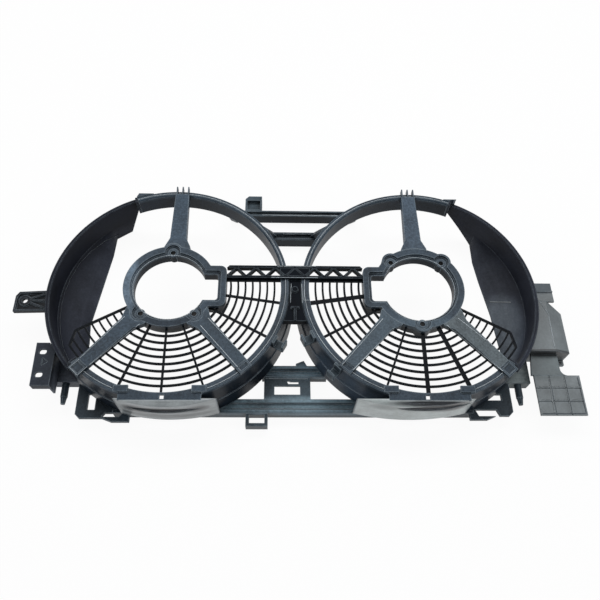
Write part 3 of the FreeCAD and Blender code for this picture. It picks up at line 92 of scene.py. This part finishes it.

# Painted light and shade: places of a finish made lighter where light falls or sheen shows and
# darker where shade
# lies (inner walls, lower parts, under lips, the lens-shaped recesses of the lower covers): centre,
# reach along each axis, factor of the colour and, where it is not the usual one, the softness of
# the border. Lengths are in metres.
PATCH_SOFTNESS = 0.2
LIGHT_AND_SHADE_PATCHES = {
    "motor_plastic": (
        ((0.0, -0.0105, 0.045), (1.0, 1.0, 0.0235), (0.25, 0.26, 0.28), 0.05),
        ((0.1555, -0.0640, 0.073), (0.045, 0.014, 0.012), (1.50, 1.50, 1.45)),
        ((-0.1585, -0.0640, 0.073), (0.045, 0.014, 0.012), (0.60, 0.60, 0.62)),
        ((-0.2120, -0.0105, 0.073), (0.014, 0.045, 0.012), (2.60, 2.55, 2.50))),
    "ring_plastic": (
        ((0.0, -0.0105, 0.030), (1.0, 1.0, 0.037), (0.38, 0.40, 0.44), 0.04),
        ((-0.0750, -0.1250, 0.035), (0.080, 0.055, 0.030), (0.60, 0.65, 0.70)),
        ((0.0750, -0.1250, 0.035), (0.080, 0.055, 0.030), (2.60, 2.50, 2.40))),
    "arm_plastic": (
        ((0.2251, -0.0891, 0.072), (0.075, 0.075, 0.040), (2.20, 1.90, 1.60)),
        ((0.0859, -0.0891, 0.072), (0.060, 0.060, 0.040), (1.40, 1.36, 1.30)),
        ((-0.2281, -0.0891, 0.072), (0.075, 0.075, 0.040), (1.05, 1.08, 1.12)),
        ((0.1555, 0.1000, 0.072), (0.030, 0.050, 0.040), (1.50, 1.50, 1.55)),
        ((-0.1585, 0.1000, 0.072), (0.030, 0.050, 0.040), (1.20, 1.25, 1.30))),
    "panel_plastic": (
        ((0.290, -0.110, 0.018), (0.035, 0.040, 0.020), (8.0, 7.6, 5.8)),
        ((-0.290, -0.105, 0.018), (0.035, 0.040, 0.020), (5.0, 4.6, 4.2)),
        ((-0.345, -0.0175, 0.040), (0.050, 0.035, 0.030), (0.45, 0.45, 0.45))),
    "wall_plastic": (
        ((-0.1585, -0.0105, 0.004), (0.190, 0.190, 0.022), (3.5, 3.3, 2.9)),
        ((0.1555, -0.0105, 0.004), (0.190, 0.190, 0.022), (2.4, 2.3, 2.0)),
        ((0.2600, -0.0105, 0.030), (0.130, 0.250, 0.100), (1.75, 1.70, 1.62)),
        ((0.280, -0.040, 0.008), (0.035, 0.050, 0.025), (2.5, 2.6, 2.4))),
    "rail_plastic": (
        ((0.000, 0.1385, 0.006), (0.120, 0.004, 0.010), (0.30, 0.32, 0.36)),
        ((0.000, -0.1465, 0.013), (0.150, 0.012, 0.008), (3.0, 3.1, 3.0)),
        ((0.000, -0.1015, 0.013), (0.060, 0.012, 0.006), (3.2, 3.4, 3.4)),
        ((0.000, 0.1120, 0.015), (0.070, 0.028, 0.040), (0.35, 0.35, 0.38)),
        ((-0.245, -0.150, 0.008), (0.070, 0.045, 0.025), (0.60, 0.60, 0.62)),
        ((0.245, -0.150, 0.008), (0.070, 0.045, 0.025), (0.60, 0.60, 0.62))),
    "duct_plastic": (
        ((0.3250, 0.0240, 0.0388), (0.030, 0.0225, 0.010), (0.36, 0.42, 0.48), 0.1),
        ((0.3250, -0.0825, 0.0340), (0.050, 0.0028, 0.020), (0.35, 0.33, 0.33)),
        ((0.3180, -0.1000, 0.0300), (0.035, 0.0180, 0.004), (0.70, 0.74, 0.74))),
    "lower_cover_plastic": (
        ((0.160, -0.1700, 0.0400), (0.120, 0.0400, 0.060), (1.32, 1.34, 1.30)),
        ((-0.157, -0.1615, 0.0485), (0.055, 0.0038, 0.012), (0.10, 0.10, 0.11)),
        ((0.160, -0.1615, 0.0570), (0.065, 0.0038, 0.016), (0.07, 0.07, 0.08)),
        ((-0.157, -0.166, 0.030), (0.080, 0.012, 0.006), (0.55, 0.55, 0.55))),
}

# Noise patterns: scale per metre, detail and roughness
PATTERNS = {
    "mottle": (14.0, 5.0, 0.6),
    "streaks": (60.0, 3.0, 0.6),
    "grain": (1400.0, 2.0, 0.7),
    "sinks": (90.0, 2.0, 0.4),
    "speckle": (380.0, 3.0, 0.75),
}
STREAK_STRETCH = (1.0, 0.25, 3.0)

# Values of the mottle pattern that give the darkest and the lightest mottling
MOTTLE_RANGE = (0.35, 0.65)

# Tones over the mottling: pattern, its value where the tone begins and where it is full, the share
# there (None is the finish's own share of speckle) and the factor of the colour
TONES = (
    ("streaks", 0.45, 0.75, 0.35, 1.6),
    ("grain", 0.55, 0.75, 0.18, 2.2),
    ("speckle", 0.50, 0.70, None, 2.0),
    ("speckle", 0.50, 0.32, None, 0.35),
)

# Painted shade darkening the crevices: reach in metres, openness where the painted shade is full
# and where it ends, its full share
CREVICE_SHADE_REACH = 0.008
CREVICE_SHADE_RANGE = (0.3, 0.85)
CREVICE_SHADE_SHARE = 0.7

# Worn edges with painted highlight: radius in metres, cosine of the turn where the pale edge begins
# and where it is full, the break-up by the sink marks (their values, then the shares), and the
# paler colour of wear and painted highlight
EDGE_RADIUS = 0.0021
EDGE_RANGE = (0.985, 0.88)
EDGE_BREAK_UP = (0.3, 0.6, 0.5, 1.0)
WORN_AND_HIGHLIGHT_SHARE = 0.6
WORN_AND_HIGHLIGHT_PALE = (0.23, 0.27, 0.30)

# Change of the roughness from one end of the range to the other, by pattern
ROUGH_RANGE = (0.3, 0.7)
ROUGH_BY_MOTTLE = (-0.06, 0.08)
ROUGH_BY_GRAIN = (-0.04, 0.05)

# Relief: pattern, depth in metres and strength
RELIEF = (("sinks", 0.00025, 0.6), ("grain", 0.00006, 0.8))

# Samples of the crevice and the edge node, and the refractive index of the plastic
SHADER_SAMPLES = 6
PLASTIC_IOR = 1.49

# Thin raised lines along edges and rims, which carry painted highlights, and dark seams: slot,
# width and height in millimetres, and the corners as places in the 600 by 600 picture. Each lies on
# the surface that it is seen on.
LINES = {
    "left_outer_arm_edge": ("arm_plastic", 1.2, 0.6, ((139.5, 324.0), (89.0, 365.0))),
    "left_outer_arm_back_edge": ("arm_plastic", 1.0, 0.5, ((124.5, 316.5), (80.0, 358.0))),
    "left_inner_arm_edge": ("arm_plastic", 1.0, 0.5, ((200.4, 325.4), (240.8, 370.6))),
    "left_inner_arm_back_edge": ("arm_plastic", 1.0, 0.5, ((208.0, 318.0), (251.5, 364.0))),
    "right_inner_arm_edge": ("arm_plastic", 1.2, 0.6, ((394.0, 328.0), (352.9, 370.2))),
    "right_inner_arm_back_edge": ("arm_plastic", 1.0, 0.5, ((383.0, 318.5), (341.5, 365.5))),
    "right_outer_arm_edge": ("arm_plastic", 1.2, 0.6, ((447.0, 325.0), (503.0, 371.0))),
    "right_outer_arm_back_edge": ("arm_plastic", 1.0, 0.5, ((458.0, 318.0), (513.0, 361.5))),
    "left_tray_side": ("ring_plastic", 0.9, 0.6, ((79.2, 359.3), (69.5, 367.2))),
    "left_tray_end": ("ring_plastic", 0.9, 0.6, ((69.5, 367.2), (77.2, 375.2))),
    "left_tray_front": ("ring_plastic", 0.9, 0.6, ((77.2, 375.2), (87.0, 366.5))),
    "beam_upper_line": ("beam_plastic", 0.9, 0.6, ((277.0, 266.3), (316.0, 266.3))),
    "beam_lower_line": ("beam_plastic", 0.9, 0.6, ((271.0, 277.4), (318.0, 277.8))),
    "web_left_rib": ("beam_plastic", 0.9, 0.8, ((291.2, 284.0), (290.4, 303.0))),
    "web_right_rib": ("beam_plastic", 0.9, 0.8, ((301.8, 284.0), (302.6, 303.0))),
    "shelf_pad_side": ("ring_plastic", 1.0, 0.8, ((304.4, 282.5), (304.0, 300.0))),
    "shelf_pad_foot": ("ring_plastic", 1.0, 0.8, ((304.0, 300.5), (311.5, 300.0))),
    "right_wall_lip": ("wall_plastic", 1.4, 0.9, ((490.0, 302.0), (511.0, 302.4))),
    "left_wall_curve": ("wall_plastic", 0.8, 0.5, (
        (119.0, 234.5), (105.0, 241.0), (91.0, 251.5), (80.0, 263.0), (71.0, 277.5),
        (65.0, 291.5), (61.5, 305.0), (60.0, 319.0), (60.5, 333.0), (63.5, 348.5),
        (69.0, 361.0))),
    "duct_crease_line": ("duct_plastic", 0.9, 0.5, (
        (539.0, 300.5), (548.5, 314.5), (554.5, 347.0))),
    "deflector_upper_lip": ("duct_plastic", 0.9, 0.5, ((539.5, 386.8), (580.5, 386.8))),
    "deflector_lower_lip": ("duct_plastic", 0.9, 0.5, ((542.0, 399.8), (583.5, 399.8))),
    "deflector_left_lip": ("duct_plastic", 0.9, 0.5, ((548.4, 377.0), (554.6, 413.0))),
    "deflector_right_lip": ("duct_plastic", 0.9, 0.5, ((563.4, 377.0), (571.2, 413.0))),
    "deflector_side_rim": ("duct_plastic", 1.1, 0.5, ((577.4, 377.5), (586.2, 413.0))),
    "deflector_foot_rim": ("duct_plastic", 1.1, 0.5, ((543.0, 413.6), (586.2, 413.6))),
    "crossbar_line": ("rail_plastic", 0.8, 0.5, ((266.0, 371.7), (326.0, 371.9))),
    "bottom_rail_line": ("rail_plastic", 0.8, 0.5, ((232.0, 403.4), (352.0, 404.2))),
    "bottom_rail_low_line": ("rail_plastic", 0.8, 0.5, ((232.0, 408.5), (352.0, 409.2))),
    "top_rail_line": ("rail_plastic", 1.4, 0.5, ((262.0, 215.0), (338.0, 215.8))),
    "second_rail_line": ("rail_plastic", 0.8, 0.5, ((283.0, 234.0), (318.0, 234.2))),
    "bracket_rim_line": ("rail_plastic", 0.8, 0.5, ((265.5, 378.6), (308.0, 378.9))),
}

# Raised lines with a painted highlight along arcs about each fan axis, on the lip of the ring and
# on the ledge
# inside the motor ring: radius, height, first and last angle in degrees (mirrored on the right),
# width and rise, slot. Lengths are in metres.
ARCS = {
    "crest_line": (0.1453, 0.0709, (-130.0, 112.0), 0.0010, 0.0005, "ring_plastic"),
    "ledge_line": (0.0463, 0.0710, (32.0, 328.0), 0.0009, 0.0005, "motor_plastic"),
}

# Points of the raised lines. The steps are in pixels of the picture and in degrees. The lengths, in
# metres, are the least distance between two points, the jump that ends a run, and the farthest
# that an arc may lie from the surface. A run of an arc with fewer points than the last is left out.
PIXEL_STEP = 1.2
ANGLE_STEP = 2.0
POINT_GAP = 0.0003
DEPTH_JUMP = 0.004
SURFACE_GAP = 0.0003
SHORTEST_RUN = 5

# Section of a raised line: places across it and above the surface, as shares of width and height
BEAD_SECTION = ((-0.5, -0.3), (-0.38, 0.7), (0.0, 1.0), (0.38, 0.7), (0.5, -0.3))

# Floor: half of its side and its height in metres, its grey, and the share of plain white in what
# the camera sees of it
FLOOR_HALF = 3.0
FLOOR_Z = -0.0006
FLOOR_GREY = 0.92
FLOOR_WHITE_SHARE = 0.94

# Lamps: place and size in metres, power in watts. They all aim at one point.
LAMP_AIM = Vector((0.0, 0.0, 0.03))
LAMPS = {
    "key": ((0.0, 0.75, 1.5), (2.6, 0.6), 22.0),
    "side": ((-1.3, -0.7, 1.0), (0.7, 0.7), 4.0),
    "fill": ((1.3, -0.5, 1.3), (0.7, 0.7), 6.0),
}
SURROUND_COLOUR = (0.93, 0.96, 1.0, 1.0)
SURROUND_STRENGTH = 0.26


class Graph:
    """A small helper that adds nodes to a material and links them."""

    def __init__(self, material):
        material.use_nodes = True
        self.tree = material.node_tree
        self.tree.nodes.clear()

    def feed(self, socket, value):
        """Link a socket to another one, or write a constant on it."""
        if isinstance(value, bpy.types.NodeSocket):
            self.tree.links.new(value, socket)
        else:
            socket.default_value = value

    def add(self, kind, inputs=None, **settings):
        node = self.tree.nodes.new(kind)
        for key, value in settings.items():
            setattr(node, key, value)
        for key, value in (inputs or {}).items():
            self.feed(node.inputs[key], value)
        return node

    def maths(self, operation, first, second, clamp=False):
        node = self.add("ShaderNodeMath", {0: first, 1: second}, operation=operation,
                        use_clamp=clamp)
        return node.outputs[0]

    def vector_maths(self, operation, *vectors):
        return self.add("ShaderNodeVectorMath", dict(enumerate(vectors)), operation=operation)

    def noise(self, where, scale, detail, rough):
        node = self.add("ShaderNodeTexNoise", {"Vector": where, "Scale": scale,
                                               "Detail": detail, "Roughness": rough})
        return node.outputs["Fac"]

    def ramp(self, value, low, high, at_low, at_high):
        node = self.add("ShaderNodeMapRange", {"Value": value, "From Min": low, "From Max": high,
                                               "To Min": at_low, "To Max": at_high})
        return node.outputs["Result"]

    def blend(self, factor, a, b, mode="MIX"):
        node = self.add("ShaderNodeMix", data_type="RGBA", blend_type=mode)
        for key, value in (("Factor", factor), ("A", a), ("B", b)):
            self.feed(next(s for s in node.inputs if s.name == key and s.enabled), value)
        return next(s for s in node.outputs if s.enabled)


def rgba(colour, factor=1.0):
    return tuple(min(1.0, c * factor) for c in colour) + (1.0,)


def paint_light_and_shade(graph, where, tone, patch):
    """Painted light and shade: lighten or darken the colour inside a soft-edged ellipsoid of the
    part.
    """
    centre, reach, factor, soft = (*patch, PATCH_SOFTNESS)[:4]
    shifted = graph.vector_maths("SUBTRACT", where, centre)
    scaled = graph.vector_maths("DIVIDE", shifted.outputs[0], reach)
    away = graph.vector_maths("LENGTH", scaled.outputs[0])
    share = graph.ramp(away.outputs["Value"], 1.0 + soft, 1.0 - soft, 0.0, 1.0)
    return graph.blend(share, tone, (*factor, 1.0), "MULTIPLY")


def moulded_plastic(name, colour, roughness, mottle, edge_wear_and_highlight, specular, fleck, patches):
    """Moulded plastic: fine grain, sink marks, dusty mottling, painted light and shade in patches
    and crevices, and pale edges of wear and painted highlight.
    """
    material = bpy.data.materials.new(name)
    graph = Graph(material)
    where = graph.add("ShaderNodeTexCoord").outputs["Object"]
    stretched = graph.add("ShaderNodeMapping", {"Vector": where, "Scale": STREAK_STRETCH})
    places = {"streaks": stretched.outputs["Vector"]}
    noises = {pattern: graph.noise(places.get(pattern, where), *values)
              for pattern, values in PATTERNS.items()}

    share = graph.ramp(noises["mottle"], *MOTTLE_RANGE, 0.0, 1.0)
    tone = graph.blend(share, rgba(colour, 1.0 - mottle), rgba(colour, 1.0 + mottle))
    for pattern, begin, full, most, factor in TONES:
        share = graph.ramp(noises[pattern], begin, full, 0.0, fleck if most is None else most)
        tone = graph.blend(share, tone, rgba(colour, factor))
    # Patches of painted light and shade
    for patch in patches:
        tone = paint_light_and_shade(graph, where, tone, patch)
    # Painted shade in the crevices, from the ambient occlusion
    crevice_shade = graph.add("ShaderNodeAmbientOcclusion", {"Distance": CREVICE_SHADE_REACH},
                        samples=SHADER_SAMPLES)
    share = graph.ramp(crevice_shade.outputs["AO"], *CREVICE_SHADE_RANGE, CREVICE_SHADE_SHARE, 0.0)
    tone = graph.blend(share, tone, BLACK)

    rounded = graph.add("ShaderNodeBevel", {"Radius": EDGE_RADIUS}, samples=SHADER_SAMPLES)
    normal = rounded.outputs["Normal"]
    flat = graph.add("ShaderNodeNewGeometry").outputs["Normal"]
    turn = graph.vector_maths("DOT_PRODUCT", normal, flat)
    # Pale edges: wear and painted highlight
    edge = graph.ramp(turn.outputs["Value"], *EDGE_RANGE, 0.0, edge_wear_and_highlight)
    edge = graph.maths("MULTIPLY", edge, graph.ramp(noises["sinks"], *EDGE_BREAK_UP), True)
    worn_and_highlight = rgba(tuple(WORN_AND_HIGHLIGHT_SHARE * c + pale for c, pale in zip(colour, WORN_AND_HIGHLIGHT_PALE)))
    tone = graph.blend(edge, tone, worn_and_highlight)

    rough = graph.ramp(noises["mottle"], *ROUGH_RANGE, *(roughness + r for r in ROUGH_BY_MOTTLE))
    finer = graph.ramp(noises["grain"], *ROUGH_RANGE, *ROUGH_BY_GRAIN)
    rough = graph.maths("ADD", rough, finer, True)
    for pattern, depth, strength in RELIEF:
        bump = graph.add("ShaderNodeBump", {"Height": noises[pattern], "Distance": depth,
                                            "Strength": strength, "Normal": normal})
        normal = bump.outputs["Normal"]
    shader = graph.add("ShaderNodeBsdfPrincipled", {
        "Base Color": tone, "Roughness": rough, "Normal": normal,
        "IOR": PLASTIC_IOR, "Specular IOR Level": specular})
    graph.add("ShaderNodeOutputMaterial", {"Surface": shader.outputs[0]})
    return material


def dress_nodes():
    """Give every CAD node the finish of its slot."""
    slots = {part["node"]: part["material_slot"] for part in frame["record"]["subparts"]}
    finishes = {slot: moulded_plastic(slot, *values, LIGHT_AND_SHADE_PATCHES.get(slot, ()))
                for slot, values in FINISHES.items()}
    for name, obj in frame["nodes"].items():
        finish = finishes[slots[name]]
        if not obj.material_slots:
            obj.data.materials.append(finish)
        for slot in obj.material_slots:
            slot.material = finish
    return finishes


def new_object(name, data):
    obj = bpy.data.objects.new(name, data)
    bpy.context.scene.collection.objects.link(obj)
    return obj


def camera_axes():
    """The camera's right, up and backward directions, and its place."""
    elevation = math.radians(CAMERA_ELEVATION)
    azimuth = math.radians(CAMERA_AZIMUTH)
    roll = math.radians(CAMERA_ROLL)
    back = Vector((math.sin(azimuth) * math.cos(elevation),
                   -math.cos(azimuth) * math.cos(elevation), math.sin(elevation)))
    right = UP.cross(back).normalized()
    up = back.cross(right)
    turned_right = math.cos(roll) * right + math.sin(roll) * up
    turned_up = math.cos(roll) * up - math.sin(roll) * right
    return turned_right, turned_up, back, CAMERA_TARGET + CAMERA_DISTANCE * back


def solid_surface():
    """All the CAD faces as one search tree."""
    points = []
    faces = []
    for obj in frame["nodes"].values():
        start = len(points)
        points += [obj.matrix_world @ v.co for v in obj.data.vertices]
        faces += [[start + i for i in face.vertices] for face in obj.data.polygons]
    return BVHTree.FromPolygons(points, faces)


def seen_at(surface, place):
    """The point and normal of the surface at a place in the picture."""
    right, up, back, eye = camera_axes()
    half = FRAME_PIXELS / 2.0
    ray = right * (place[0] - half) + up * (half - place[1]) - back * FOCAL_PIXELS
    point, normal, _, _ = surface.ray_cast(eye, ray.normalized())
    if point is not None and normal.dot(ray) > 0.0:
        normal = -normal
    return point, normal


def line_on(surface, corners):
    """Points and normals along a drawn line; the longest run without a jump is kept."""
    runs = [[]]
    for a, b in zip(corners, corners[1:]):
        count = max(1, round(math.dist(a, b) / PIXEL_STEP))
        for k in range(count + 1):
            place = (a[0] + (b[0] - a[0]) * k / count, a[1] + (b[1] - a[1]) * k / count)
            point, normal = seen_at(surface, place)
            if point is None:
                runs.append([])
                continue
            if runs[-1]:
                gap = (point - runs[-1][-1][0]).length
                if gap < POINT_GAP:
                    continue
                if gap > DEPTH_JUMP:
                    runs.append([])
            runs[-1].append((point, normal))
    return max(runs, key=len)


def bead(name, run, width, height, material):
    """A low ridge with a rounded back along a run of points, sunk a little into its carrier.

    It is kept inside the box of the CAD part.
    """
    points = []
    for k, (point, normal) in enumerate(run):
        ahead = run[min(k + 1, len(run) - 1)][0] - run[max(k - 1, 0)][0]
        side = ahead.cross(normal).normalized()
        for across, rise in BEAD_SECTION:
            corner = point + side * across * width + normal * rise * height
            points.append([min(max(c, low), high) for c, low, high in zip(corner, *cad_box)])
    n = len(BEAD_SECTION)
    faces = []
    for k in range(len(run) - 1):
        for i in range(n):
            j = (i + 1) % n
            faces.append((k * n + i, k * n + j, (k + 1) * n + j, (k + 1) * n + i))
    faces.append(tuple(reversed(range(n))))
    faces.append(tuple(range((len(run) - 1) * n, len(run) * n)))
    mesh = bpy.data.meshes.new(name)
    mesh.from_pydata(points, [], faces)
    mesh.materials.append(material)
    obj = new_object(name, mesh)
    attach(obj, "root")


def raised_lines(surface, finishes):
    """The lines of the picture. Lips are pale and the other edges bright, both painted highlights;
    seams are dark.
    """
    for name, (slot, width, height, corners) in LINES.items():
        if name.endswith("_lip"):
            finish = finishes["lip_plastic"]
        elif slot == "wall_plastic" or name.endswith("_rim"):
            finish = finishes["seam_plastic"]
        else:
            finish = finishes["painted_edge_highlight"]
        bead(name, line_on(surface, corners), width / 1000.0, height / 1000.0, finish)


def arc_lines(surface, side, kind, finish):
    """Beads along an arc about one fan axis, wherever the part carries them."""
    radius, height, (first, last), width, rise, slot = ARCS[kind]
    mirror = -1.0 if side == "right" else 1.0
    count = round((last - first) / ANGLE_STEP)
    runs = [[]]
    for k in range(count + 1):
        angle = math.radians(first + (last - first) * k / count)
        place = Vector((FAN_X[side] + mirror * radius * math.cos(angle),
                        FAN_Y + radius * math.sin(angle), height))
        if surface.find_nearest(place)[3] > SURFACE_GAP:
            runs.append([])
        else:
            runs[-1].append((place, UP))
    for number, run in enumerate([r for r in runs if len(r) >= SHORTEST_RUN], 1):
        bead("%s_%s_%d" % (side, kind, number), run, width, rise, finish)


def pale_floor():
    """A large pale sheet. Seen directly it is nearly white, and it keeps a faint soft shadow."""
    mesh = bpy.data.meshes.new("floor")
    mesh.from_pydata([(x * FLOOR_HALF, y * FLOOR_HALF, 0.0)
                      for x, y in ((-1, -1), (1, -1), (1, 1), (-1, 1))], [], [(0, 1, 2, 3)])
    floor = new_object("floor", mesh)
    floor.location.z = FLOOR_Z
    material = bpy.data.materials.new("pale_floor")
    graph = Graph(material)
    rays = graph.add("ShaderNodeLightPath")
    seen = graph.maths("MAXIMUM", rays.outputs["Is Camera Ray"], rays.outputs["Is Glossy Ray"])
    seen = graph.maths("MAXIMUM", seen, rays.outputs["Is Transmission Ray"])
    share = graph.maths("MULTIPLY", seen, FLOOR_WHITE_SHARE)
    paper = graph.add("ShaderNodeBsdfDiffuse", {"Color": rgba((FLOOR_GREY,) * 3)})
    glow = graph.add("ShaderNodeEmission", {"Color": WHITE, "Strength": 1.0})
    mixed = graph.add("ShaderNodeMixShader", {0: share, 1: paper.outputs[0], 2: glow.outputs[0]})
    graph.add("ShaderNodeOutputMaterial", {"Surface": mixed.outputs[0]})
    mesh.materials.append(material)


def studio():
    """A long soft box above and behind, two smaller ones at the sides and an even pale surround."""
    for name, (place, size, power) in LAMPS.items():
        light = bpy.data.lights.new(name, "AREA")
        light.shape = "RECTANGLE"
        light.size, light.size_y = size
        light.energy = power
        obj = new_object(name, light)
        obj.location = place
        obj.rotation_euler = (LAMP_AIM - Vector(place)).to_track_quat("-Z", "Y").to_euler()
    world = bpy.data.worlds.new("studio")
    bpy.context.scene.world = world
    world.use_nodes = True
    background = world.node_tree.nodes["Background"]
    background.inputs["Color"].default_value = SURROUND_COLOUR
    background.inputs["Strength"].default_value = SURROUND_STRENGTH


def camera():
    right, up, back, eye = camera_axes()
    matrix = Matrix((right, up, back)).transposed().to_4x4()
    matrix.translation = eye
    data = bpy.data.cameras.new("camera")
    data.sensor_width = SENSOR_MM
    data.lens = FOCAL_PIXELS / FRAME_PIXELS * SENSOR_MM
    data.clip_start = CLIP_START
    obj = new_object("camera", data)
    obj.matrix_world = matrix
    bpy.context.scene.camera = obj


finishes = dress_nodes()
surface = solid_surface()
raised_lines(surface, finishes)
# Raised arcs with painted highlights on the ring crests and the motor ledges
for side in FAN_X:
    for kind in ARCS:
        arc_lines(surface, side, kind, finishes["painted_edge_highlight"])
pale_floor()
studio()
camera()
bpy.context.scene.view_settings.view_transform = "Standard"
